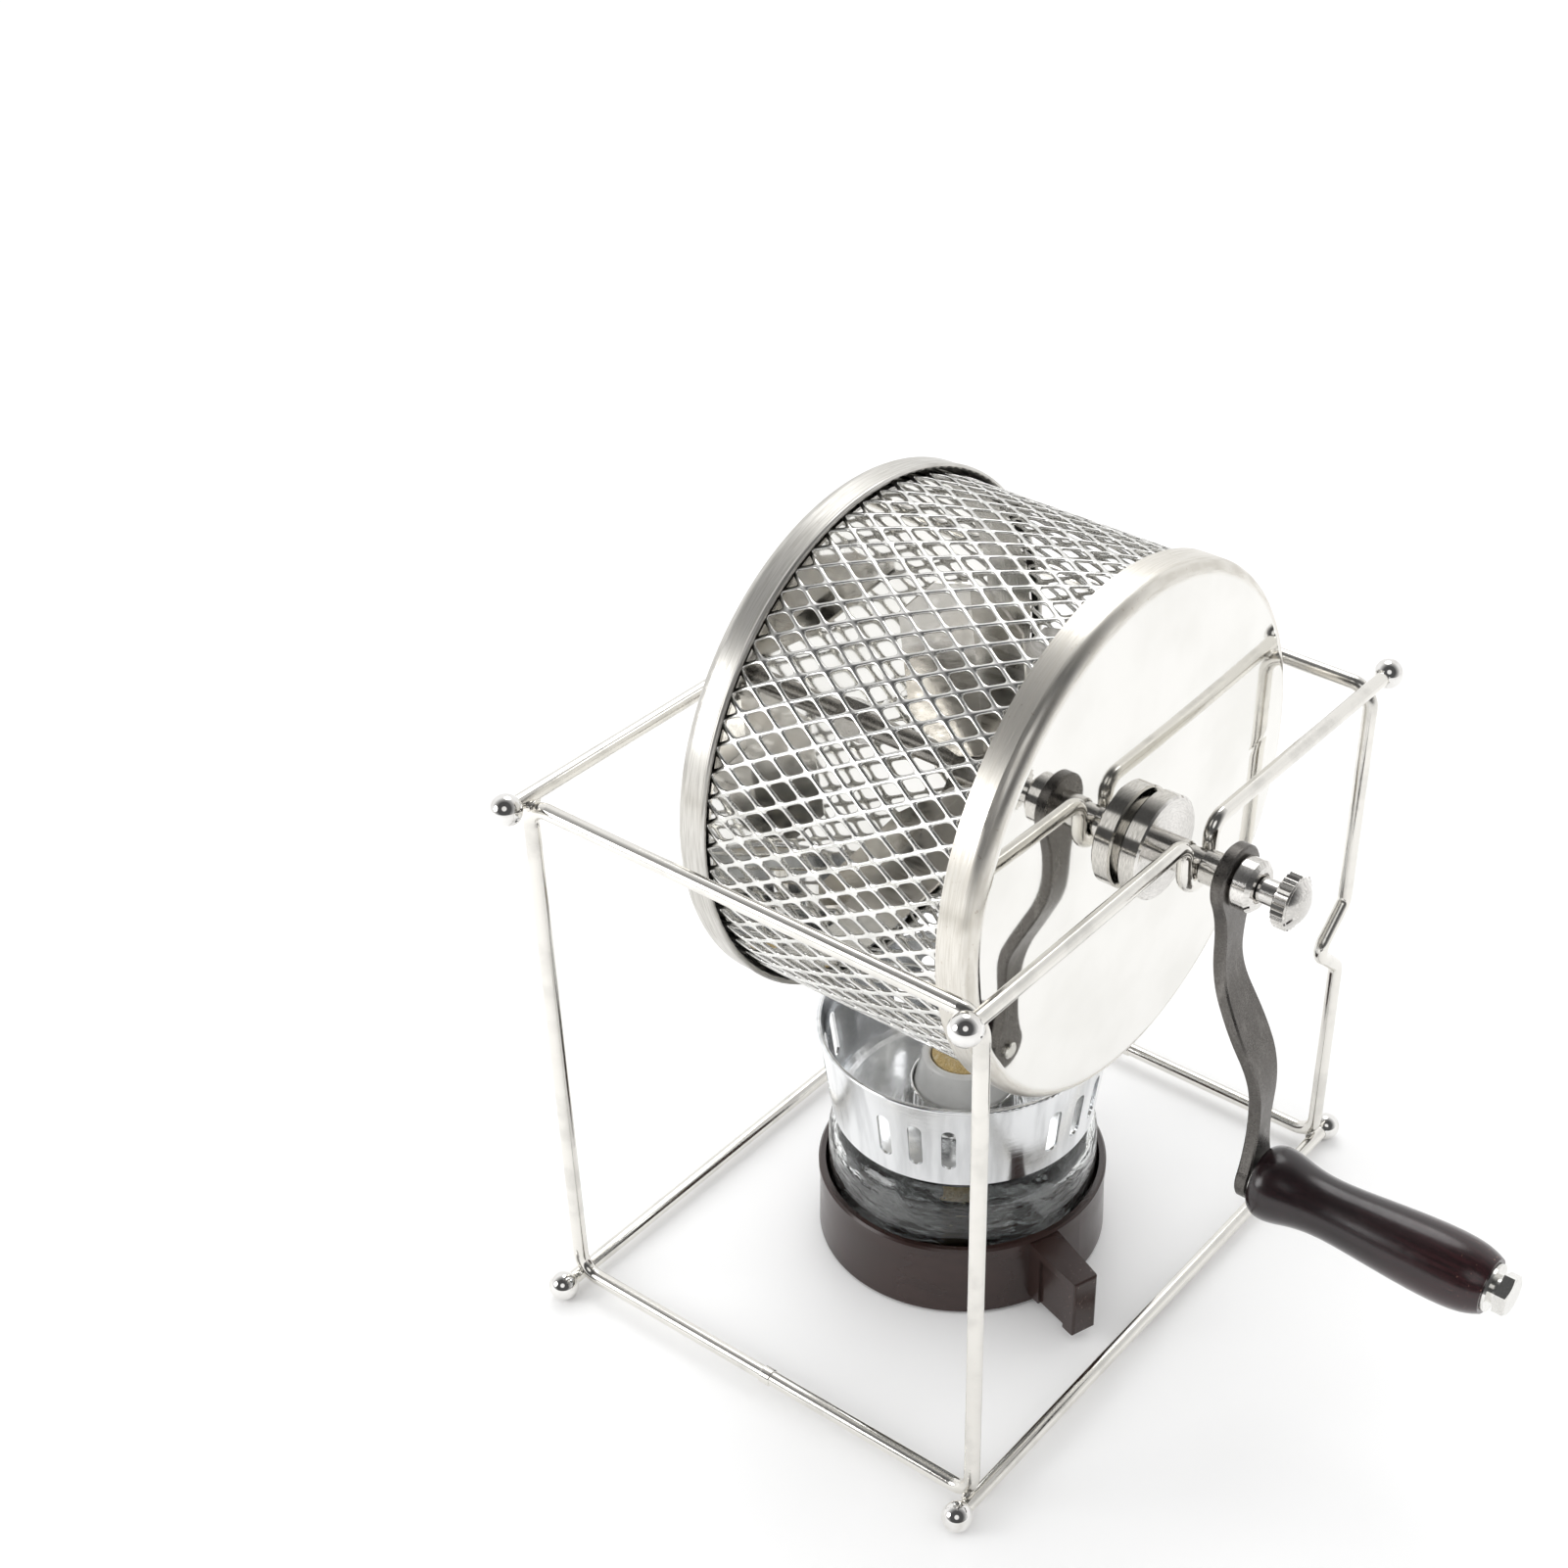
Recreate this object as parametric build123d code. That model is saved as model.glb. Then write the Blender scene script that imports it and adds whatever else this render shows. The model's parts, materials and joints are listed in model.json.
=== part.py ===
from build123d import *
import os
from math import degrees, pi, radians, sqrt, tan

# Stovetop coffee bean roaster: a mesh drum turned by hand in a wire stand, over a spirit burner.
# Millimetres. X runs along the drum's axle towards the crank, Y across it, Z up from the table.
# The origin is on the table, under the middle of the stand and of the burner.

# ------------------------------------------------------------------ driving dimensions

# Wire stand: two upright side loops joined by four cross bars with a ball on each end
wire_d = 4.0
ball_d = 8.0
bar_gap_x = 133.4            # between the cross bars' centre lines
ball_gap_y = 183.8           # between the balls of one cross bar
bar_rise = 155.7             # from the lower cross bars to the upper ones
loop_inset = 6.84            # from a ball's centre in to the side loop
loop_setback = 0.6           # the loops' posts stand this far inside the cross bars
loop_bend_r = 6.0
ball_socket = 3.2            # how deep a bar's end sits in its ball
weld_gap = 0.02
butt_weld_d = 4.7            # ring of weld where a loop's two ends meet
butt_weld_len = 3.4
kink_z = 79.8                # second axle rest: inward kink in both posts of one loop
kink_half = 11.2
kink_depth = 12.8
kink_r = 4.0
notch_shoulder_r = 4.5       # bend where a top bar turns down into its axle notch

# Axle and running fits
axle_drop = 8.3              # the axle's centre below the upper cross bars
journal_d = 7.2              # part of the axle that turns in the wire notch
run_gap = 0.05               # radial gap of every running fit
seat_gap = 0.02              # radial gap of pieces pressed or welded together
groove_play = 0.4            # on each side of the wire in its groove

# Drum
drum_x_back = -35.4          # outer face of the closed end
cap_over = 2.6               # the closed end's rim stands out past the middle of the sheet
cap_depth = 8.3
sheet_t = 0.8
cap_edge_r = 2.6
cap_crown = 0.5              # the closed end swells outward by this much in the middle
cap_hem_d = 1.5
mesh_r = 66.3                # middle of the expanded sheet
mesh_t = 1.0
mesh_strand_w = 0.95
mesh_count = 64              # diamonds round the drum
mesh_cell = 11.1             # length of one diamond along the drum
mesh_end_gap = 0.1
hoop_w = 7.0
mouth_ring_w = 6.6
mouth_wall = 0.78

# Lid with its hub
lid_x_face = 50.8            # outer face at the rounded edge
lid_crown = 0.7              # the face swells outward by this much in the middle
lid_over = 2.3               # its rim stands out past the middle of the sheet
lid_depth = 9.7
lid_edge_r = 3.8
lid_play = 0.05              # between the drum's mouth and the lid's rounded corner
hub_d = 26.6
hub_t = 6.4
hub_step_d = 21.0
hub_step_t = 1.1
hub_chamfer = 0.5
collar_d = 8.5               # between the hub and the groove
end_collar_d = 8.6           # between the groove and the crank
end_collar_t = 6.3
thread_d = 7.8               # threaded end that carries the crank
lid_tube_d = 9.5
lid_tube_len = 42.6
lid_tube_foot_d = 17.0

# Drum shaft inside
shaft_d = 6.0
sleeve_d = 8.0
sleeve_len = 24.0
stud_d = 6.0
stud_len = 8.0
blade_hub_x = -2.0
blade_hub_d = 11.0
blade_hub_len = 8.0
shaft_nut_af = 10.0
shaft_nut_t = 4.0
back_flange_d = 20.0
back_flange_t = 3.0
back_bore_len = 5.0          # how far the shaft enters the back axle
back_axle_over = 5.2         # past the back bar's centre line

# Stirring blades
blade_count = 4
blade_angle = 98.0           # first blade, from Y towards Z
blade_t = 0.8
blade_len = 57.0             # tip radius
blade_w = 32.0
blade_front_share = 0.45      # of the blade's width lies in front of the fold
blade_root_w = 7.0
blade_shoulder = 16.0        # radius at which the blade reaches its full width
blade_tip_cut = 9.0
blade_fold = 28.0            # degrees that the back half is folded down
blade_fold_x = 5.0

# Crank
arm_t = 3.6
arm_len = 85.8
arm_offset = 13.6
arm_slope = 27.3             # degrees
arm_bend_r = 31.0
arm_bend_drop = 26.6         # first bend's corner below the axle
arm_eye_d = 17.4
arm_end_d = 13.4
arm_waist_w = 8.4            # above the bends
arm_waist_drop = 19.0
arm_belly_w = 12.2           # across the bends
arm_belly_drop = 42.5
arm_neck_w = 6.8             # above the grip
arm_neck_drop = 64.0
arm_edge = 0.45              # the bar's edges are broken
nut_d = 13.2
nut_t = 5.4
nut_bevel_back = 0.6
nut_bevel_front = 1.1

# Thumb screw that clamps the lid on the drum
screw_neck_d = 6.4
screw_neck_len = 6.7
screw_head_d = 14.0
screw_head_t = 4.0
screw_dome_t = 2.4
screw_teeth = 28
screw_tooth_depth = 0.55
screw_shank_d = 5.4
screw_tip_d = 3.4
screw_tip_len = 10.0

# Grip
grip_len = 64.2
grip_d = 19.8                # at the bulb by the crank
grip_bolt_d = 5.0
grip_washer_t = 0.9
grip_washer_d = 12.6
bolt_shoulder_d = 7.4
bolt_shoulder_t = 1.7
bolt_head_af = 9.6
bolt_head_t = 3.2
bolt_peen = 1.2
play = 0.1                   # end play of the turning pieces

# Spirit burner
base_h = 23.6
base_wall = 2.1              # outside the bowl's seat, at the foot
base_floor = 2.5
base_draft = 0.5             # the wall leans in by this much at the top
base_lip_h = 3.0
base_lip_out = 0.35
lug_angle = -20.0
lug_len = 19.2               # past the dish's foot
lug_pocket_in = 4.0          # its sunk panels start this far from the dish
lug_pocket_out = 4.5         # and end this far from its tip
lug_pocket_edge = 1.3        # above and below them
lug_w_root = 9.4
lug_w_end = 7.4
lug_top_z = 22.4
lug_bottom_z = 3.4
lug_recess = 0.9
bowl_d = 76.0
bowl_wall = 2.2
bowl_shoulder_z = 40.8
bowl_play = 0.3
neck_d = 28.0
neck_bore = 23.0
neck_top_z = 47.0
shield_floor_z = 41.0
shield_top_z = 72.5
shield_d_bottom = 71.6
shield_d_top = 79.2
shield_wall = 0.8
shield_rim_d = 1.4
shield_hole_d = 32.6
shield_groups = 5
shield_slots = 3
shield_group_angle = -73.4
slot_pitch = 13.7            # degrees
slot_w = 3.9
slot_cut = 12.0              # depth of the cut, more than the wall leans
slot_z_low = 50.0
slot_z_high = 64.5
ring_flange_d = 32.4
ring_wall = 0.9
ring_flange_h = 1.7
ring_top_z = 51.0
holder_d_top = 23.4
holder_d_bottom = 27.4
holder_top_z = 60.0
holder_bore = 18.2
holder_edge = 1.3
holder_spigot = 5.0
wick_gap = 0.3
wick_tail_d = 11.0
wick_bottom_z = 7.5
wick_tuft = 0.8              # how far the wick stands out of its holder

# ------------------------------------------------------------------ derived sizes

wire_r = wire_d / 2
ball_r = ball_d / 2
bar_x = bar_gap_x / 2
ball_y = ball_gap_y / 2
foot_z = ball_r
top_z = foot_z + bar_rise
loop_x = bar_x - loop_setback
loop_y = ball_y - loop_inset
# A loop's rounded corner touches the cross bar that passes outside it
corner_reach = loop_bend_r + wire_d + weld_gap
corner_drop = sqrt(corner_reach ** 2 - (loop_setback + loop_bend_r) ** 2) - loop_bend_r
loop_top_z = top_z - corner_drop
loop_low_z = foot_z + corner_drop

axle_z = top_z - axle_drop
journal_r = journal_d / 2
notch_r = journal_r + run_gap + wire_r

base_seat_r = bowl_d / 2 + bowl_play
base_r = base_seat_r + base_wall
lug_reach = base_r + lug_len
cap_r = mesh_r + cap_over
lid_r = mesh_r + lid_over
cap_flat_r = cap_r - cap_edge_r
lid_flat_r = lid_r - lid_edge_r
cap_mid_x = drum_x_back - cap_crown
cap_inner_x = drum_x_back + sheet_t
lid_mid_x = lid_x_face + lid_crown
lid_inner_x = lid_x_face - sheet_t
# Seats on the insides of the swelling faces
nut_seat_x = cap_inner_x - cap_crown * (1 - (shaft_nut_af / sqrt(3) / cap_flat_r) ** 2)
tube_seat_x = lid_inner_x + lid_crown * (1 - (lid_tube_foot_d / 2 / lid_flat_r) ** 2)
flange_x0 = cap_mid_x - back_flange_t
shaft_x0 = flange_x0 - back_bore_len
mesh_in_r = mesh_r - mesh_t / 2
mesh_out_r = mesh_r + mesh_t / 2
mouth_in_r = mesh_in_r - seat_gap - mouth_wall
mouth_out_r = mesh_out_r + seat_gap + mouth_wall
mouth_lip_r = (mouth_out_r - mouth_in_r) / 2
# The mouth's rounded lip nests in the lid's rounded corner
nest_reach = lid_edge_r - sheet_t - mouth_lip_r - lid_play
nest_rise = mesh_r - lid_flat_r
mouth_bend_x = lid_x_face - lid_edge_r + sqrt(nest_reach ** 2 - nest_rise ** 2)
mouth_x = mouth_bend_x + mouth_lip_r
mouth_slot_x = mouth_bend_x - 0.4
mesh_x0 = cap_inner_x + mesh_end_gap
mesh_x1 = mouth_slot_x - mesh_end_gap

hub_x0 = lid_mid_x + hub_step_t
hub_x1 = lid_mid_x + hub_t
groove_x0 = bar_x - wire_r - groove_play
groove_x1 = bar_x + wire_r + groove_play
arm_x0 = groove_x1 + end_collar_t
arm_x1 = arm_x0 + arm_t
nut_x1 = arm_x1 + nut_t
thread_x1 = nut_x1 - 0.8
screw_x0 = thread_x1 + play
screw_head_x = screw_x0 + screw_neck_len
axle_bore_r = screw_shank_d / 2 + run_gap

sleeve_x0 = blade_hub_x + blade_hub_len
sleeve_x1 = sleeve_x0 + sleeve_len
stud_x1 = sleeve_x1 + stud_len
stud_bore_r = screw_tip_d / 2 + run_gap
shank_x0 = stud_x1 + 0.5
lid_tube_x0 = tube_seat_x - lid_tube_len
lid_tube_bore_r = sleeve_d / 2 + run_gap

end_z = axle_z - arm_len
end_arm_x0 = arm_x0 + arm_offset
end_arm_x1 = end_arm_x0 + arm_t
inner_washer_x = end_arm_x1 + play
grip_x0 = inner_washer_x + grip_washer_t + play
grip_x1 = grip_x0 + grip_len
outer_washer_x = grip_x1 + play
shoulder_x = outer_washer_x + grip_washer_t
bolt_head_x = shoulder_x + bolt_shoulder_t
bolt_r = grip_bolt_d / 2


# ------------------------------------------------------------------ helpers

def turned_x(points, height=0.0):
    """Solid of revolution about the X direction at the given height, from (x, radius) corners."""
    profile = make_face(Polyline(*points, close=True))
    return Pos(0, 0, height) * revolve(profile, Axis.X)


def turned_z(points):
    """Solid of revolution about Z, from (radius, z) corners."""
    profile = make_face(Plane.XZ * Polyline(*points, close=True))
    return revolve(profile, Axis.Z)


def rod_x(x0, x1, radius, height):
    """Round bar along X."""
    return turned_x([(x0, 0), (x0, radius), (x1, radius), (x1, 0)], height)


def ring_x(x0, x1, r_in, r_out, height):
    """Plain ring or tube along X."""
    return turned_x([(x0, r_in), (x0, r_out), (x1, r_out), (x1, r_in)], height)


def hexagon_x(x0, x1, across_flats, height):
    """Hexagonal prism along X with a flat on top."""
    outline = RegularPolygon(across_flats / 2, 6, major_radius=False, rotation=30)
    prism = extrude(Plane.YZ * outline, x1 - x0)
    return Pos(x0, 0, height) * prism


def wire_along(path, radius):
    """Round wire swept along a path of lines and arcs."""
    section = Plane(origin=path @ 0, z_dir=path % 0) * Circle(radius)
    return sweep(section, path=path)


def pan(x_face, x_edge, radius, edge_r, crown, hole_r):
    """Shallow round pan of sheet metal, its face swelling by crown and open towards x_edge."""
    side = 1 if x_face > x_edge else -1
    inner_r = edge_r - sheet_t
    x_bend = x_face - side * edge_r
    x_in = x_face - side * sheet_t
    r_bend = radius - edge_r
    r_half = (hole_r + r_bend) / 2
    swell_half = side * crown * (1 - (r_half / r_bend) ** 2)
    swell_hole = side * crown * (1 - (hole_r / r_bend) ** 2)
    turn = sqrt(0.5)
    outer_mid = (x_bend + side * edge_r * turn, r_bend + edge_r * turn)
    inner_mid = (x_bend + side * inner_r * turn, r_bend + inner_r * turn)
    outline = [
        ThreePointArc((x_face + swell_hole, hole_r), (x_face + swell_half, r_half), (x_face, r_bend)),
        ThreePointArc((x_face, r_bend), outer_mid, (x_bend, radius)),
        Line((x_bend, radius), (x_edge, radius)),
        Line((x_edge, radius), (x_edge, radius - sheet_t)),
        Line((x_edge, radius - sheet_t), (x_bend, radius - sheet_t)),
        ThreePointArc((x_bend, radius - sheet_t), inner_mid, (x_in, r_bend)),
        ThreePointArc((x_in, r_bend), (x_in + swell_half, r_half), (x_in + swell_hole, hole_r)),
        Line((x_in + swell_hole, hole_r), (x_face + swell_hole, hole_r)),
    ]
    return Pos(0, 0, axle_z) * revolve(make_face(outline), Axis.X)


def save(name, shape):
    """Write one piece to its own file."""
    shape.label = name
    export_step(shape, f"parts/{name}.step")


# ------------------------------------------------------------------ stand

def side_loop(y, kinked):
    """Upright rectangle of wire, its ends butt welded in the middle of the bottom run."""
    left = [(-loop_x, y, loop_low_z)]
    right = [(loop_x, y, loop_top_z)]
    left_r = [loop_bend_r]
    right_r = [loop_bend_r]
    if kinked:
        y_in = y - kink_depth
        kink_heights = [(y, kink_z - kink_half), (y_in, kink_z), (y, kink_z + kink_half)]
        left += [(-loop_x, ky, kz) for ky, kz in kink_heights]
        right += [(loop_x, ky, kz) for ky, kz in reversed(kink_heights)]
        left_r += [kink_r] * 3
        right_r += [kink_r] * 3
    left.append((-loop_x, y, loop_top_z))
    right.append((loop_x, y, loop_low_z))
    left_r.append(loop_bend_r)
    right_r.append(loop_bend_r)
    first = (-weld_gap, y, loop_low_z)
    last = (weld_gap, y, loop_low_z)
    path = FilletPolyline(first, *left, *right, last, radius=left_r + right_r)
    weld = rod_x(-butt_weld_len / 2, butt_weld_len / 2, butt_weld_d / 2, 0)
    weld = fillet(weld.edges().filter_by(GeomType.CIRCLE), (butt_weld_d - wire_d) / 2)
    return wire_along(path, wire_r) + Pos(0, y, loop_low_z) * weld


def bar_end_y():
    """Where a cross bar stops inside its ball."""
    return ball_y - ball_r + ball_socket


def bottom_bar(x):
    return Pos(x, 0, foot_z) * (Rot(90, 0, 0) * Cylinder(wire_r, 2 * bar_end_y()))


def top_bar(x):
    """Cross bar that dips in a round notch under the axle."""
    end = bar_end_y()
    shoulder = notch_shoulder_r
    turn = shoulder * (1 - sqrt(0.5))
    path = Curve() + [
        Line((x, -end, top_z), (x, -notch_r - shoulder, top_z)),
        ThreePointArc(
            (x, -notch_r - shoulder, top_z),
            (x, -notch_r - turn, top_z - turn),
            (x, -notch_r, top_z - shoulder),
        ),
        Line((x, -notch_r, top_z - shoulder), (x, -notch_r, axle_z)),
        ThreePointArc((x, -notch_r, axle_z), (x, 0, axle_z - notch_r), (x, notch_r, axle_z)),
        Line((x, notch_r, axle_z), (x, notch_r, top_z - shoulder)),
        ThreePointArc(
            (x, notch_r, top_z - shoulder),
            (x, notch_r + turn, top_z - turn),
            (x, notch_r + shoulder, top_z),
        ),
        Line((x, notch_r + shoulder, top_z), (x, end, top_z)),
    ]
    return wire_along(path, wire_r)


def ball(x, y, z):
    """Ball on a cross bar's end, bored for the wire."""
    inward = -1 if y > 0 else 1
    bore = Rot(90, 0, 0) * Cylinder(wire_r + weld_gap, 2 * ball_r)
    bore_y = inward * (2 * ball_r - ball_socket - weld_gap)
    return Pos(x, y, z) * (Sphere(ball_r) - Pos(0, bore_y, 0) * bore)


# ------------------------------------------------------------------ drum

def drum_end_cap():
    """Closed end of the drum, its rim finished with a rolled hem."""
    x_edge = drum_x_back + cap_depth
    hem_centre = (x_edge, cap_r - sheet_t / 2)
    hem = revolve(Pos(*hem_centre) * Circle(cap_hem_d / 2), Axis.X)
    body = pan(drum_x_back, x_edge, cap_r, cap_edge_r, cap_crown, shaft_d / 2 + seat_gap)
    return body + Pos(0, 0, axle_z) * hem


def mesh_strand(layer_r, left_handed):
    """One flat strand of the expanded sheet, on a helix along the drum."""
    length = mesh_x1 - mesh_x0
    turns = length / mesh_cell / mesh_count
    slope = 2 * pi * mesh_r / mesh_count / mesh_cell
    path = Helix(length / turns, length, layer_r, lefthand=left_handed)
    width = mesh_strand_w * sqrt(1 + slope ** 2)
    section = Plane(origin=(layer_r, 0, 0), x_dir=(1, 0, 0), z_dir=(0, 0, 1))
    strand = sweep(section * Rectangle(mesh_t / 2, width), path=path, is_frenet=True)
    return Pos(mesh_x0, 0, axle_z) * (Rot(0, 90, 0) * strand)


def mesh_drum():
    """Expanded metal rolled into a cylinder: two sets of strands that meet at every crossing."""
    strands = []
    for layer_r, left_handed in ((mesh_r - mesh_t / 4, False), (mesh_r + mesh_t / 4, True)):
        strand = mesh_strand(layer_r, left_handed).solid()
        for i in range(mesh_count):
            spin = Pos(0, 0, axle_z) * Rot(i * 360 / mesh_count, 0, 0) * Pos(0, 0, -axle_z)
            strands.append(spin * strand)
    return Compound(strands)


def back_hoop():
    """Hoop that holds the mesh round against the closed end."""
    x0 = cap_inner_x
    r_out = mesh_in_r - seat_gap
    return ring_x(x0, x0 + hoop_w, r_out - mouth_wall, r_out, axle_z)


def mouth_ring():
    """Folded ring round the drum's mouth, with the mesh gripped in its fold."""
    x0 = mouth_x - mouth_ring_w
    x_bend = mouth_bend_x
    r_mid = (mouth_in_r + mouth_out_r) / 2
    outline = [
        Line((x0, mouth_in_r), (x0, mouth_out_r)),
        Line((x0, mouth_out_r), (x_bend, mouth_out_r)),
        ThreePointArc((x_bend, mouth_out_r), (mouth_x, r_mid), (x_bend, mouth_in_r)),
        Line((x_bend, mouth_in_r), (x0, mouth_in_r)),
    ]
    ring = Pos(0, 0, axle_z) * revolve(make_face(outline), Axis.X)
    slot = ring_x(x0 - 1, mouth_slot_x, mesh_in_r - seat_gap, mesh_out_r + seat_gap, axle_z)
    return ring - slot


def drum_shaft():
    """Rod from the closed end to a sleeve and a stud that enter the lid's tube."""
    stud_chamfer = 0.8
    body = turned_x([
        (shaft_x0, 0),
        (shaft_x0, shaft_d / 2),
        (sleeve_x0, shaft_d / 2),
        (sleeve_x0, sleeve_d / 2),
        (sleeve_x1, sleeve_d / 2),
        (sleeve_x1, stud_d / 2),
        (stud_x1 - stud_chamfer, stud_d / 2),
        (stud_x1, stud_d / 2 - stud_chamfer),
        (stud_x1, 0),
    ], axle_z)
    bore = rod_x(stud_x1 - screw_tip_len - 3, stud_x1 + 1, stud_bore_r, axle_z)
    return body - bore


def back_axle():
    """Flanged pin outside the closed end, which turns in the back bar's notch."""
    x_end = -bar_x - wire_r - back_axle_over
    chamfer = 0.8
    body = turned_x([
        (x_end, 0),
        (x_end, journal_r - chamfer),
        (x_end + chamfer, journal_r),
        (flange_x0, journal_r),
        (flange_x0, back_flange_d / 2 - chamfer),
        (flange_x0 + chamfer, back_flange_d / 2),
        (cap_mid_x, back_flange_d / 2),
        (cap_mid_x, 0),
    ], axle_z)
    bore = rod_x(shaft_x0 - seat_gap, drum_x_back, shaft_d / 2 + seat_gap, axle_z)
    return body - bore


def shaft_nut():
    """Nut that clamps the closed end against the back axle's flange."""
    x1 = nut_seat_x + shaft_nut_t
    nut = hexagon_x(nut_seat_x, x1, shaft_nut_af, axle_z)
    return nut - rod_x(nut_seat_x - 1, x1 + 1, shaft_d / 2 + seat_gap, axle_z)


def blade_hub():
    x1 = blade_hub_x + blade_hub_len - seat_gap
    return ring_x(blade_hub_x, x1, shaft_d / 2 + seat_gap, blade_hub_d / 2, axle_z)


def blade(index):
    """Stirring blade: a sheet with cut corners, folded lengthwise."""
    root_r = blade_hub_d / 2 + seat_gap
    front = blade_w * blade_front_share
    back = blade_w - front
    root_mid = blade_hub_x + blade_hub_len / 2 - blade_fold_x
    shoulder_z = blade_shoulder
    tip_z = blade_len - blade_tip_cut
    front_half = Polyline(
        (0, root_r),
        (root_mid + blade_root_w / 2, root_r),
        (front, shoulder_z),
        (front, tip_z),
        (front - blade_tip_cut, blade_len),
        (0, blade_len),
        close=True,
    )
    back_half = Polyline(
        (0, root_r),
        (root_mid - blade_root_w / 2, root_r),
        (-back, shoulder_z),
        (-back, tip_z),
        (-back + blade_tip_cut, blade_len),
        (0, blade_len),
        close=True,
    )
    front_plate = extrude(Plane.XZ * make_face(front_half), blade_t / 2, both=True)
    back_plate = extrude(Plane.XZ * make_face(back_half), blade_t / 2, both=True)
    up_from_base = (Align.CENTER, Align.CENTER, Align.MIN)
    crease = Pos(0, 0, root_r) * Cylinder(blade_t / 2, blade_len - root_r, align=up_from_base)
    sheet = front_plate + crease + Rot(0, 0, blade_fold) * back_plate
    turn = blade_angle - 90 + index * 360 / blade_count
    return Pos(blade_fold_x, 0, axle_z) * (Rot(turn, 0, 0) * sheet)


# ------------------------------------------------------------------ lid, hub and crank

def lid():
    x_edge = lid_x_face - lid_depth
    return pan(lid_x_face, x_edge, lid_r, lid_edge_r, lid_crown, collar_d / 2 + seat_gap)


def lid_tube():
    """Tube inside the lid that slides over the drum shaft's sleeve."""
    foot_r = lid_tube_foot_d / 2
    tube = ring_x(lid_tube_x0, tube_seat_x, lid_tube_bore_r, lid_tube_d / 2, axle_z)
    return tube + ring_x(tube_seat_x - sheet_t, tube_seat_x, lid_tube_bore_r, foot_r, axle_z)


def lid_hub():
    """Turned disc outside the lid, on a thinner step."""
    bore_r = collar_d / 2 + seat_gap
    return turned_x([
        (lid_mid_x, bore_r),
        (lid_mid_x, hub_step_d / 2),
        (hub_x0, hub_step_d / 2),
        (hub_x0, hub_d / 2 - hub_chamfer),
        (hub_x0 + hub_chamfer, hub_d / 2),
        (hub_x1 - hub_chamfer, hub_d / 2),
        (hub_x1, hub_d / 2 - hub_chamfer),
        (hub_x1, bore_r),
    ], axle_z)


def crank_axle():
    """Hollow axle with the groove that rides in the front bar's notch."""
    collar_r = collar_d / 2
    end_collar_r = end_collar_d / 2
    chamfer = 0.4
    return turned_x([
        (tube_seat_x, axle_bore_r),
        (tube_seat_x, collar_r),
        (groove_x0 - chamfer, collar_r),
        (groove_x0, collar_r - chamfer),
        (groove_x0, journal_r),
        (groove_x1, journal_r),
        (groove_x1, end_collar_r - chamfer),
        (groove_x1 + chamfer, end_collar_r),
        (arm_x0, end_collar_r),
        (arm_x0, thread_d / 2),
        (thread_x1, thread_d / 2),
        (thread_x1, axle_bore_r),
    ], axle_z)


def crank_arm():
    """Forged steel bar with an eye at each end, broad across the two bends that clear the stand."""
    x_top = arm_x0 + arm_t / 2
    x_low = x_top + arm_offset
    z_bend = axle_z - arm_bend_drop
    z_back = z_bend - arm_offset / tan(radians(arm_slope))
    route = FilletPolyline(
        (x_top, axle_z + arm_eye_d),
        (x_top, z_bend),
        (x_low, z_back),
        (x_low, end_z - arm_end_d),
        radius=arm_bend_r,
    )
    edge_on = extrude(Plane.XZ * trace(route, arm_t), arm_eye_d, both=True)
    leave = 30  # degrees round each eye at which the bar's sides leave it
    eye_side = Vector(arm_eye_d / 2, 0).rotate(Axis.Z, -leave)
    end_side = Vector(arm_end_d / 2, 0).rotate(Axis.Z, leave)
    side = Spline(
        (eye_side.X, axle_z + eye_side.Y),
        (arm_waist_w / 2, axle_z - arm_waist_drop),
        (arm_belly_w / 2, axle_z - arm_belly_drop),
        (arm_neck_w / 2, axle_z - arm_neck_drop),
        (end_side.X, end_z + end_side.Y),
    )
    outline = make_face([
        side,
        Line(side @ 1, (-(side @ 1).X, (side @ 1).Y)),
        mirror(side, Plane.YZ),
        Line((-(side @ 0).X, (side @ 0).Y), side @ 0),
    ])
    outline += Pos(0, axle_z) * Circle(arm_eye_d / 2)
    outline += Pos(0, end_z) * Circle(arm_end_d / 2)
    face_on = Pos(x_top - arm_t, 0, 0) * extrude(Plane.YZ * outline, arm_offset + 2 * arm_t)
    arm = edge_on & face_on
    arm = chamfer(arm.edges(), arm_edge)
    arm -= rod_x(arm_x0 - 1, arm_x1 + 1, thread_d / 2 + seat_gap, axle_z)
    return arm - rod_x(end_arm_x0 - 1, end_arm_x1 + 1, bolt_r + seat_gap, end_z)


def crank_nut():
    """Round nut with bevelled ends."""
    r = nut_d / 2
    bore_r = thread_d / 2 + seat_gap
    return turned_x([
        (arm_x1, bore_r),
        (arm_x1, r - nut_bevel_back),
        (arm_x1 + nut_bevel_back, r),
        (nut_x1 - nut_bevel_front, r),
        (nut_x1, r - nut_bevel_front),
        (nut_x1, bore_r),
    ], axle_z)


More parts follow.
